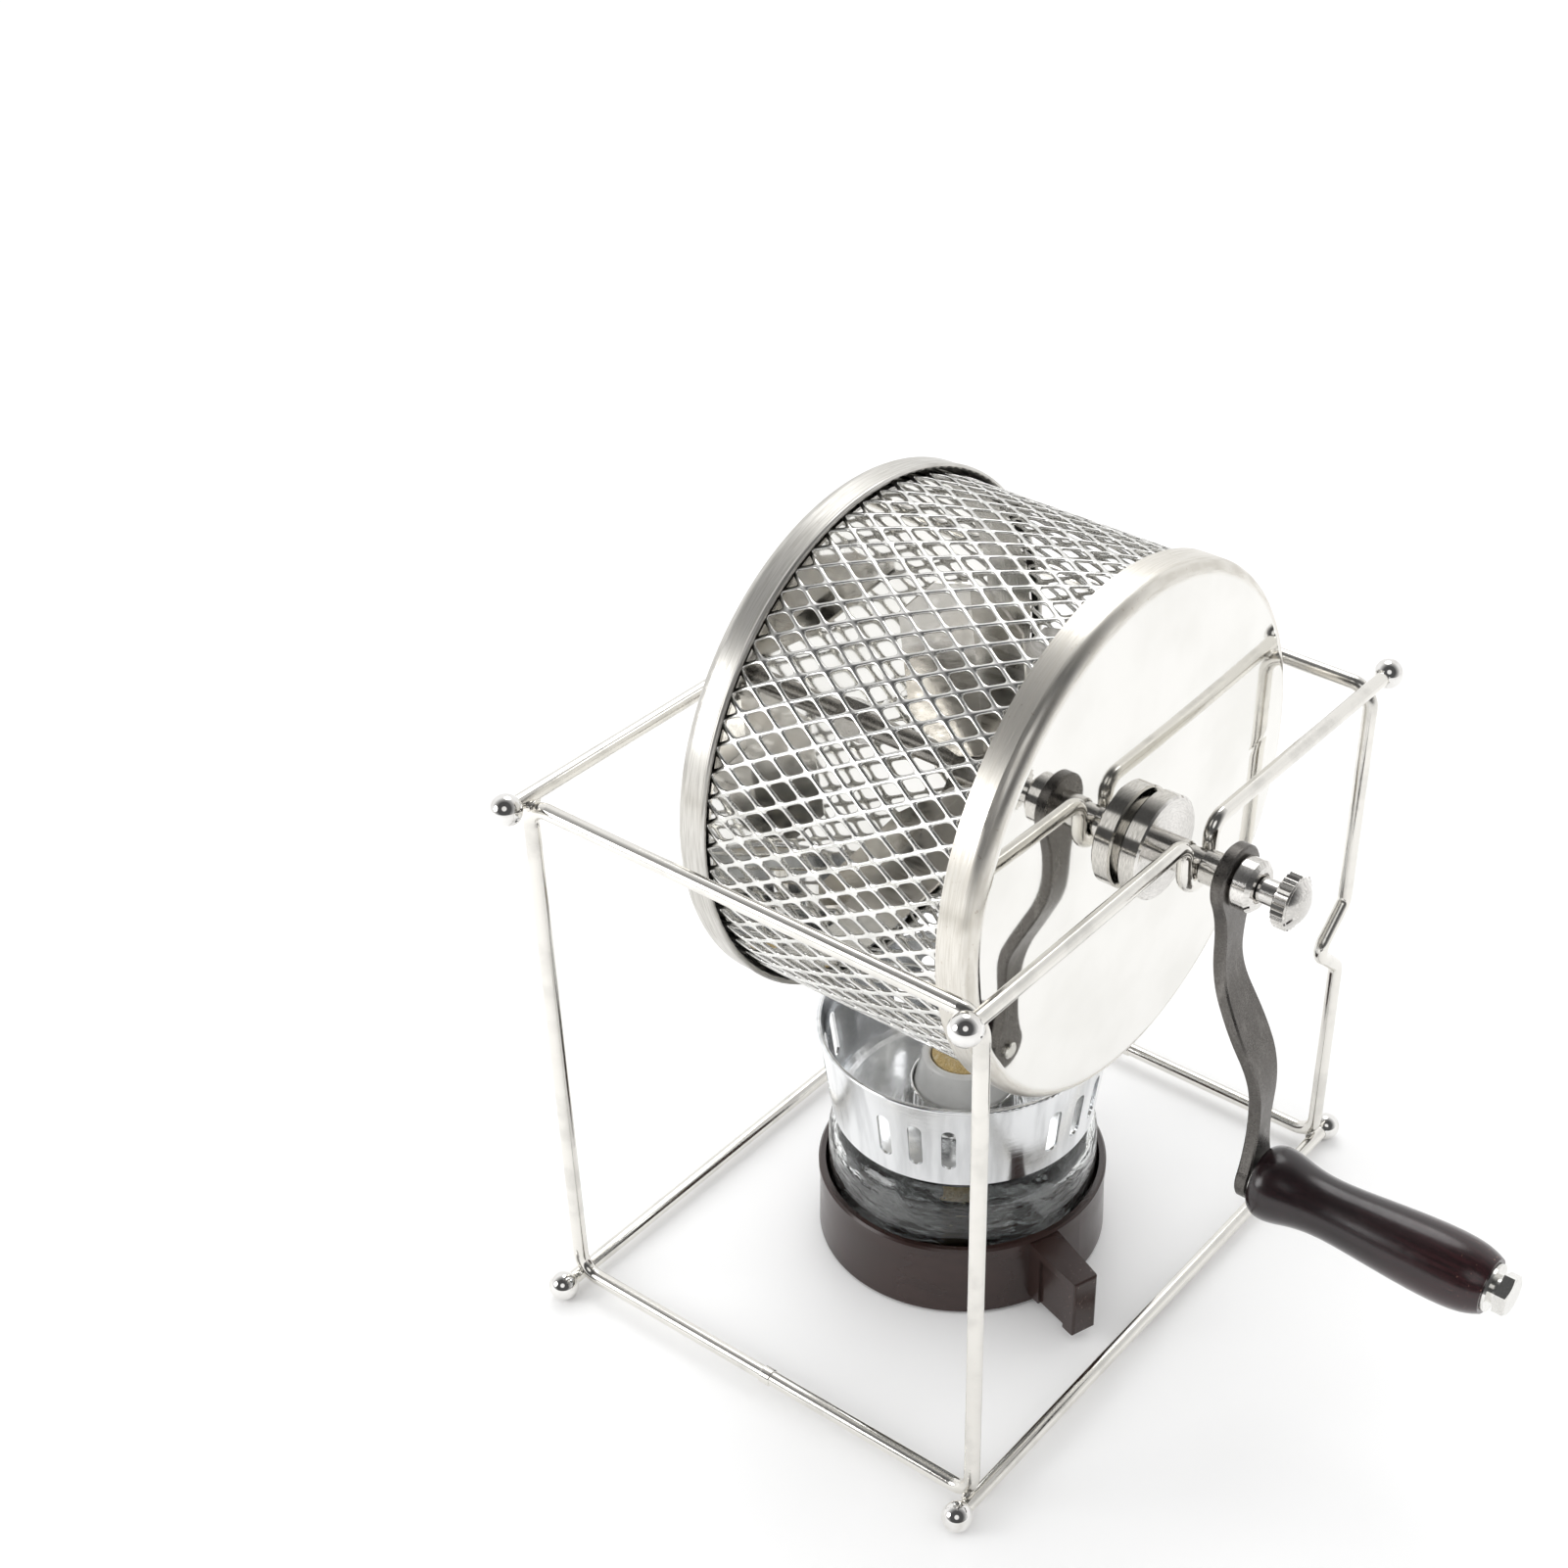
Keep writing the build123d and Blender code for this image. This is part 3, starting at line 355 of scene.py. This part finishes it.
def grip_material():
    """Dark lacquered hardwood, redder towards the free end, with small pale chips there."""
    dark_near, dark_far = (0.007, 0.004, 0.005), (0.014, 0.005, 0.006)
    warm_near, warm_far = (0.014, 0.007, 0.008), (0.034, 0.009, 0.011)
    pore_black, chip_pale = (0.004, 0.002, 0.002), (0.36, 0.20, 0.13)
    start, end = low("grip").x, high("grip").x
    s = Shader("grip_wood")
    along = s.position()[0]
    grain = s.noise((22, 0.7, 0.7), detail=5, rough=0.6)
    pores = s.spread(s.noise((5, 0.28, 0.28)), 0.56, 0.68)
    peel = s.noise((2.2, 1.5, 1.5), detail=1)
    red = s.spread(along, start + RED_FROM, end, 0.15, 1)
    tone = s.blend(s.spread(grain, 0.35, 0.68), s.blend(red, dark_near, dark_far),
                   s.blend(red, warm_near, warm_far))
    tone = s.blend(s.times(pores, 0.5), tone, pore_black)
    near_end = s.spread(along, end - CHIPS_FROM, end - CHIPS_FULL)
    chips = s.times(s.spread(s.even_noise(1.1, detail=4, rough=0.6), 0.67, 0.70), near_end)
    tone = s.blend(chips, tone, chip_pale)
    rough = s.plus(s.spread(peel, 0.3, 0.7, 0.2, 0.26), s.times(chips, 0.4))
    normal = s.bump(peel, 0.14, 0.06, s.bump(pores, 0.15, -0.03))
    return s.surface(Base_Color=tone, Roughness=rough, Normal=normal, Coat_Weight=0.25,
                     Coat_Roughness=0.16)


LUG_FROM = 48            # distances from the burner's axis between which the lug's scuffs come in
LUG_FULL = 56


def base_material():
    """Moulded brown plastic with a soft gloss and a few pale scuffs on the lug."""
    dark, light, scuffed = (0.026, 0.0135, 0.0115), (0.032, 0.0165, 0.014), (0.20, 0.14, 0.12)
    s = Shader("base_plastic")
    swirl = s.noise((16, 16, 7), detail=4)
    peel = s.even_noise(0.9)
    tone = s.blend(s.spread(swirl, 0.35, 0.7), dark, light)
    on_lug = s.spread(s.round_axis("Z")[1], LUG_FROM, LUG_FULL)
    scuff = s.times(s.spread(s.noise((0.8, 0.8, 1.6), detail=5, rough=0.7), 0.62, 0.69), on_lug)
    tone = s.blend(scuff, tone, scuffed)
    rough = s.plus(s.spread(swirl, 0.3, 0.7, 0.2, 0.27), s.times(scuff, 0.3))
    return s.surface(Base_Color=tone, Roughness=rough, Normal=s.bump(peel, 0.12, 0.05),
                     Specular_IOR_Level=0.5)


def glass_material():
    """Pressed glass with faint waves left by the mould."""
    clear, filmed = (0.96, 0.975, 0.97), (0.90, 0.925, 0.92)
    s = Shader("bowl_glass")
    wave = s.noise((7, 7, 2.2), detail=2)
    film = s.even_noise(5, detail=4)
    tone = s.blend(s.spread(film, 0.4, 0.7), clear, filmed)
    return s.surface(Base_Color=tone, Roughness=s.spread(film, 0.4, 0.75, 0, 0.025), IOR=1.5,
                     Transmission_Weight=1.0, Normal=s.bump(wave, 0.6, 0.5))


def shield_material():
    """Spun aluminium: fine rings, and streaks of varied dullness down the wall."""
    bright, dull = (0.88, 0.89, 0.90), (0.70, 0.71, 0.72)
    s = Shader("shield_aluminium")
    rings = s.lathe_lines(s.round_axis("Z"), 0.3, 5, detail=3)
    streak = s.noise((4.5, 4.5, 70))
    tone = s.blend(s.spread(streak, 0.38, 0.68), bright, dull)
    rough = s.plus(s.spread(streak, 0.35, 0.7, 0.09, 0.2), s.spread(rings, 0.35, 0.75, 0, 0.06))
    return s.surface(Base_Color=tone, Metallic=1.0, Roughness=rough,
                     Normal=s.bump(rings, 0.3, 0.03))


def porcelain_material():
    """Glazed porcelain, faintly cloudy, with pin-head specks under the glaze."""
    white, clouded, speck_grey = (0.90, 0.90, 0.885), (0.83, 0.83, 0.81), (0.45, 0.42, 0.38)
    s = Shader("porcelain")
    cloud = s.even_noise(6)
    speck = s.spread(s.cells(2.6), 0.05, 0.09, 1, 0)
    tone = s.blend(s.spread(cloud, 0.35, 0.7), white, clouded)
    tone = s.blend(s.times(speck, 0.35), tone, speck_grey)
    return s.surface(Base_Color=tone, Roughness=s.spread(cloud, 0.3, 0.7, 0.12, 0.2),
                     Coat_Weight=0.5, Coat_Roughness=0.05, Normal=s.bump(cloud, 0.1, 0.1))


def cotton_material():
    """Raw cotton, golden, darker between the threads."""
    golden, shaded, pale = (0.80, 0.62, 0.30), (0.46, 0.30, 0.10), (0.86, 0.76, 0.52)
    s = Shader("cotton")
    fibre = s.noise((0.3, 0.3, 1.6), detail=4, rough=0.65)
    tuft = s.even_noise(1.6, detail=2)
    tone = s.blend(s.spread(fibre, 0.35, 0.7), golden, shaded)
    tone = s.blend(s.spread(tuft, 0.5, 0.72, 0, 0.6), tone, pale)
    return s.surface(Base_Color=tone, Roughness=0.85, Sheen_Weight=0.4,
                     Normal=s.bump(fibre, 0.5, 0.15))


MATERIALS = {
    "wire_steel": wire_material("wire_steel", (0.82, 0.80, 0.755), dull=0.86),
    "ball_steel": ball_material(),
    "drum_steel": satin_round("drum_steel", bright=(0.80, 0.79, 0.76), dim=(0.72, 0.71, 0.68),
                              fine=0.5, rough=(0.08, 0.16)),
    "mesh_steel": mesh_material(),
    "blade_steel": blade_material(),
    "turned_steel": satin_round("turned_steel", bright=(0.82, 0.80, 0.77),
                                dim=(0.56, 0.545, 0.52), fine=0.16, rough=(0.07, 0.2),
                                depth=0.02),
    "dark_steel": arm_material(),
    "grip_wood": grip_material(),
    "base_plastic": base_material(),
    "bowl_glass": glass_material(),
    "shield_aluminium": shield_material(),
    "porcelain": porcelain_material(),
    "cotton": cotton_material(),
}
GRIP_FITTINGS = satin_round("bolt_steel", bright=(0.84, 0.83, 0.80), dim=(0.68, 0.67, 0.64),
                            fine=0.2, rough=(0.06, 0.16), centre=GRIP_Z)
OWN_MATERIALS = {
    "lid": pressed_material("lid_steel", rim_bright=(0.77, 0.745, 0.69),
                            rim_dim=(0.66, 0.63, 0.57), specks=0.6),
    "drum_end_cap": pressed_material("cap_steel", rim_bright=(0.66, 0.645, 0.61),
                                     rim_dim=(0.50, 0.485, 0.45), specks=0.25),
    "drum_mouth_ring": satin_round("mouth_steel", bright=(0.80, 0.79, 0.76),
                                   dim=(0.66, 0.65, 0.62), fine=0.4, rough=(0.12, 0.24)),
    "drum_shaft": satin_round("shaft_steel", bright=(0.60, 0.58, 0.55), dim=(0.42, 0.405, 0.38),
                              fine=0.3, rough=(0.18, 0.3)),
    "grip_bolt": GRIP_FITTINGS,
    "grip_washer_inner": GRIP_FITTINGS,
    "grip_washer_outer": GRIP_FITTINGS,
    "wick_ring": satin_round("ring_chrome", bright=(0.84, 0.84, 0.83), dim=(0.72, 0.72, 0.71),
                             fine=0.4, rough=(0.04, 0.1), axis="Z"),
}

SLOTS = {part["node"]: part["material_slot"] for part in frame["record"]["subparts"]}
for node_name, slot_name in SLOTS.items():
    node = NODES[node_name]
    node.data.materials.clear()
    node.data.materials.append(OWN_MATERIALS.get(node_name, MATERIALS[slot_name]))

# ------------------------------------------------------------------ pieces


def add_piece(name, bm, body, slot):
    """Turn a bmesh in millimetres into a smooth piece that rides on a body."""
    bmesh.ops.recalc_face_normals(bm, faces=bm.faces)
    for face in bm.faces:
        face.smooth = True
    bmesh.ops.scale(bm, vec=(MM, MM, MM), verts=bm.verts)
    mesh = bpy.data.meshes.new(name)
    bm.to_mesh(mesh)
    bm.free()
    piece = bpy.data.objects.new(name, mesh)
    bpy.context.scene.collection.objects.link(piece)
    mesh.materials.append(MATERIALS[slot])
    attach(piece, body)
    return piece


MESH_COUNT = 64          # diamonds in one row round the drum
MESH_CELL = 11.1         # length of one diamond along the drum
STRAND_HALF = 0.5        # half the width of a strand, measured square to it
SHEET_HALF = 0.36        # half the sheet's thickness
STRAND_TILT = 0.16       # how far each strand's two edges lean out and in
EDGE_ROUND = 0.16        # size of the bevel along each strand's edges
CORNER_STEPS = 3         # points between the two ends of each rounded corner
CELL_CORNER = 0.9        # length of leg given to each corner of a diamond's outline
HOLE_CORNER = 1.5        # length of leg rounded off at each corner of a hole
SKIN_GAP = 0.02          # keeps the strands inside the CAD mesh
WELD_DISTANCE = 0.02     # points nearer than this are one
END_TRIM = 0.01          # cut off each end of the mesh
SPARE_ROWS = 3           # rows of diamonds that reach past the ends before they are cut


def diamond_ring(half_length, half_width, corner, sharp=False):
    """Points of a diamond from its right corner round, its corners rounded unless sharp."""
    corners = [Vector(c) for c in ((half_length, 0), (0, half_width),
                                   (-half_length, 0), (0, -half_width))]
    points = []
    for i, tip in enumerate(corners):
        start = tip + (corners[i - 1] - tip).normalized() * corner
        end = tip + (corners[(i + 1) % 4] - tip).normalized() * corner
        for k in range(CORNER_STEPS + 2):
            t = k / (CORNER_STEPS + 1)
            if sharp:
                leg, along = (start, 1 - 2 * t) if t < 0.5 else (end, 2 * t - 1)
                points.append(tip.lerp(leg, along))
            else:
                points.append((1 - t) ** 2 * start + 2 * t * (1 - t) * tip + t ** 2 * end)
    return points


def expanded_mesh():
    """Sheet slit and stretched into diamonds, rolled round the axle."""
    x0, x1 = low("drum_mesh").x, high("drum_mesh").x
    outer = (high("drum_mesh").z - low("drum_mesh").z) / 2
    middle = outer - SHEET_HALF - STRAND_TILT - SKIN_GAP
    pitch = 2 * pi * middle / MESH_COUNT
    half_l, half_w = MESH_CELL / 2, pitch / 2
    slant = hypot(half_l, half_w)
    shrink = 1 - STRAND_HALF * slant / half_w / half_l
    outline = diamond_ring(half_l, half_w, CELL_CORNER, True)
    hole = diamond_ring(half_l * shrink, half_w * shrink, HOLE_CORNER)
    lip = [p * (1 + EDGE_ROUND / (slant * shrink / 2)) for p in hole]
    bm = bmesh.new()

    def at(x, y, lift):
        angle = y / middle
        r = middle + lift
        return (x, -r * sin(angle), AXLE_Z + r * cos(angle))

    # points, side of the sheet, drop below its face, whether they lean with the strand
    layers = [(outline, 1, 0, 0), (lip, 1, 0, 1), (hole, 1, EDGE_ROUND, 1),
              (hole, -1, EDGE_ROUND, 1), (lip, -1, 0, 1), (outline, -1, 0, 0)]
    rows = int((x1 - x0) / half_l) + SPARE_ROWS
    count = len(outline)
    for m in range(-1, rows):
        for n in range(m % 2, 2 * MESH_COUNT, 2):
            cx, cy = x0 + m * half_l, n * half_w
            rings = []
            for points, side, drop, leans in layers:
                ring = []
                for px, py in points:
                    lift = side * (SHEET_HALF - drop) - STRAND_TILT * py / half_w * leans
                    ring.append(bm.verts.new(at(cx + px, cy + py, lift)))
                rings.append(ring)
            for a, b in zip(rings, rings[1:]):
                for i in range(count):
                    j = (i + 1) % count
                    bm.faces.new((a[i], a[j], b[j], b[i]))
    bmesh.ops.remove_doubles(bm, verts=bm.verts, dist=WELD_DISTANCE)
    for x, outward in ((x0 + END_TRIM, -1), (x1 - END_TRIM, 1)):
        geometry = bm.verts[:] + bm.edges[:] + bm.faces[:]
        bmesh.ops.bisect_plane(bm, geom=geometry, plane_co=(x, 0, 0), plane_no=(outward, 0, 0),
                               clear_outer=True)
    bmesh.ops.holes_fill(bm, edges=[e for e in bm.edges if e.is_boundary], sides=0)
    piece = add_piece("expanded_mesh", bm, "drum", "mesh_steel")
    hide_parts("drum_mesh")


YARNS = 150              # loose yarn ends in the tuft
YARN_SIDES = 5
YARN_RINGS = 5
YARN_R = (0.36, 0.52)    # thinnest and thickest yarn
YARN_RISE = (1.2, 2.6)   # shortest and longest free end
YARN_LEAN = 0.5          # furthest a tip leans to a side
YARN_SINK = 3.0          # how far below the wick's top a yarn starts
YARN_ROOT = 0.3          # length of yarn below its free end
YARN_TAPER = 0.25        # share of its thickness that a yarn loses on its way up
TIP_SHARE = 0.3          # share of its thickness left at the closed tip
EDGE_DROP = 0.35         # share of their free end that yarns at the wick's edge lose
EDGE_UPRIGHT = 1.2       # a yarn nearer than this to the edge leans less
TUFT_MARGIN = 0.75       # kept free inside the wick's edge
GOLDEN_ANGLE = 2.39996
ANGLE_JITTER = 0.2
WICK_SEED = 11


def wick_strands():
    """Loose ends of the wick's yarns, standing in a close tuft."""
    rng = random.Random(WICK_SEED)
    top = high("wick").z
    radius = (high("wick").x - low("wick").x) / 2
    bm = bmesh.new()
    for i in range(YARNS):
        r = (radius - TUFT_MARGIN) * sqrt((i + 0.5) / YARNS)
        angle = i * GOLDEN_ANGLE + rng.uniform(-ANGLE_JITTER, ANGLE_JITTER)
        lean = Vector((rng.uniform(-YARN_LEAN, YARN_LEAN), rng.uniform(-YARN_LEAN, YARN_LEAN)))
        rise = rng.uniform(*YARN_RISE) * (1 - EDGE_DROP * (r / radius) ** 2)
        thick = rng.uniform(*YARN_R)
        foot = Vector((r * cos(angle), r * sin(angle)))
        previous = None
        for k in range(YARN_RINGS + 1):
            t = k / YARN_RINGS
            centre = foot + lean * t * t * min(1.0, (radius - r) / EDGE_UPRIGHT)
            size = thick * (1 - YARN_TAPER * t if k < YARN_RINGS else TIP_SHARE)
            z = top - YARN_SINK + (rise + YARN_ROOT) * t
            ring = []
            for j in range(YARN_SIDES):
                a = 2 * pi * j / YARN_SIDES + t
                ring.append(bm.verts.new((centre.x + size * cos(a), centre.y + size * sin(a), z)))
            if previous:
                for j in range(YARN_SIDES):
                    h = (j + 1) % YARN_SIDES
                    bm.faces.new((previous[j], previous[h], ring[h], ring[j]))
            else:
                bm.faces.new(ring[::-1])
            previous = ring
        bm.faces.new(previous)
    return bm


WIRE_R = 2.0
BEAD_HALF = (1.25, 2.5, 1.25)          # half sizes of a weld bead
LUMP_TURNS = 1.4                       # how often lumps come over a bead, and how high
LUMP_HEIGHT = 0.22
RIPPLE_TURNS = 14                      # the same for the ripples along it
RIPPLE_HEIGHT = 0.03
BEAD_STEP = 3.1                        # step through the noise from one bead to the next


def weld_bead(name, at, seed):
    """Small lumpy bead of weld where two wires cross."""
    bm = bmesh.new()
    bmesh.ops.create_icosphere(bm, subdivisions=4, radius=1)
    for v in bm.verts:
        spot = v.co * LUMP_TURNS + Vector((seed * BEAD_STEP, 0, 0))
        lump = noise.noise(spot) * LUMP_HEIGHT
        ripple = RIPPLE_HEIGHT * sin(v.co.x * RIPPLE_TURNS + seed)
        v.co *= 1 + lump + ripple
        v.co = Vector([a + c * half for a, c, half in zip(at, v.co, BEAD_HALF)])
    add_piece(name, bm, "stand", "wire_steel")


def weld_beads():
    """Beads in the corners where the side loops meet the cross bars."""
    loop_y = abs(low("side_loop_plain").y + high("side_loop_plain").y) / 2
    touch = WIRE_R * sqrt(0.5)
    seed = 0
    for end, tag in ((1, "front"), (-1, "back")):
        for level, place in ((1, "top"), (-1, "bottom")):
            bar = f"{place}_bar_{tag}"
            bar_x = (low(bar).x + high(bar).x) / 2
            bar_z = high(bar).z - WIRE_R
            for side, hand in ((-1, "plain"), (1, "kinked")):
                seed += 1
                at = (bar_x - end * touch, side * loop_y, bar_z - level * touch)
                weld_bead(f"weld_{place}_{tag}_{hand}", at, seed)


expanded_mesh()
add_piece("wick_tuft", wick_strands(), "wick", "cotton")
weld_beads()

# ------------------------------------------------------------------ floor and light

FLOOR_HALF = 3.0         # metres


def add_floor():
    """Plain pale table top."""
    mesh = bpy.data.meshes.new("floor")
    corners = [(-FLOOR_HALF, -FLOOR_HALF, 0), (FLOOR_HALF, -FLOOR_HALF, 0),
               (FLOOR_HALF, FLOOR_HALF, 0), (-FLOOR_HALF, FLOOR_HALF, 0)]
    mesh.from_pydata(corners, [], [(0, 1, 2, 3)])
    floor = bpy.data.objects.new("floor", mesh)
    bpy.context.scene.collection.objects.link(floor)
    s = Shader("floor")
    cloud = s.even_noise(400, detail=1)
    tone = s.blend(s.spread(cloud, 0.3, 0.7), (0.985, 0.985, 0.985), (0.97, 0.97, 0.97))
    s.surface(Base_Color=tone, Roughness=0.9, Specular_IOR_Level=0.1)
    mesh.materials.append(s.material)


DARK_END_AT = (0.40, -0.62, 0.68)      # towards the photographer's end of the studio
DARK_TINT = (0.02, 0.02, 0.022, 1)
# cosine of the angle from that end, and how dark the studio is there
DARK_END = ((-1.0, 0.0), (0.05, 0.0), (0.45, 0.62), (0.70, 0.93), (0.95, 0.93),
            (0.97, 0.0), (1.0, 0.0))


def add_world():
    """White studio whose end behind the photographer is dark round one soft lamp.

    Only reflections see the dark end.
    """
    world = bpy.data.worlds.new("studio")
    bpy.context.scene.world = world
    world.use_nodes = True
    tree = world.node_tree
    background = tree.nodes["Background"]
    direction = tree.nodes.new("ShaderNodeTexCoord").outputs["Generated"]
    facing = tree.nodes.new("ShaderNodeVectorMath")
    facing.operation = "DOT_PRODUCT"
    tree.links.new(direction, facing.inputs[0])
    facing.inputs[1].default_value = Vector(DARK_END_AT).normalized()
    share = tree.nodes.new("ShaderNodeMapRange")
    tree.links.new(facing.outputs["Value"], share.inputs["Value"])
    share.inputs["From Min"].default_value = -1.0
    dark_end = tree.nodes.new("ShaderNodeValToRGB")
    tree.links.new(share.outputs["Result"], dark_end.inputs["Fac"])
    stops = dark_end.color_ramp.elements
    while len(stops) < len(DARK_END):
        stops.new(0.5)
    for stop, (cosine, level) in zip(stops, DARK_END):
        stop.position = (cosine + 1) / 2
        stop.color = (level, level, level, 1)
    rays = tree.nodes.new("ShaderNodeLightPath")
    dark = tree.nodes.new("ShaderNodeMath")
    dark.operation = "MULTIPLY"
    tree.links.new(dark_end.outputs["Color"], dark.inputs[0])
    tree.links.new(rays.outputs["Is Glossy Ray"], dark.inputs[1])
    tint = tree.nodes.new("ShaderNodeMix")
    tint.data_type = "RGBA"
    tree.links.new(dark.outputs[0], tint.inputs["Factor"])
    tint.inputs["A"].default_value = (1, 1, 1, 1)
    tint.inputs["B"].default_value = DARK_TINT
    tree.links.new(tint.outputs["Result"], background.inputs["Color"])
    background.inputs["Strength"].default_value = 1.0


LAMPS_AIM = (0, 0, 0.08)               # metres, a little below the object's middle


def add_lamp(name, at, size, watts):
    """Large soft lamp that faces the object."""
    data = bpy.data.lights.new(name, "AREA")
    data.shape = "DISK"
    data.size = size
    data.energy = watts
    lamp = bpy.data.objects.new(name, data)
    bpy.context.scene.collection.objects.link(lamp)
    lamp.location = at
    aim = Vector(LAMPS_AIM) - lamp.location
    lamp.rotation_euler = aim.to_track_quat("-Z", "Y").to_euler()


add_floor()
add_world()
add_lamp("key", at=(-0.35, 0.55, 1.1), size=0.7, watts=3.0)
add_lamp("side", at=(-0.55, -0.75, 0.45), size=0.5, watts=2.5)
bpy.context.scene.view_settings.view_transform = "Standard"
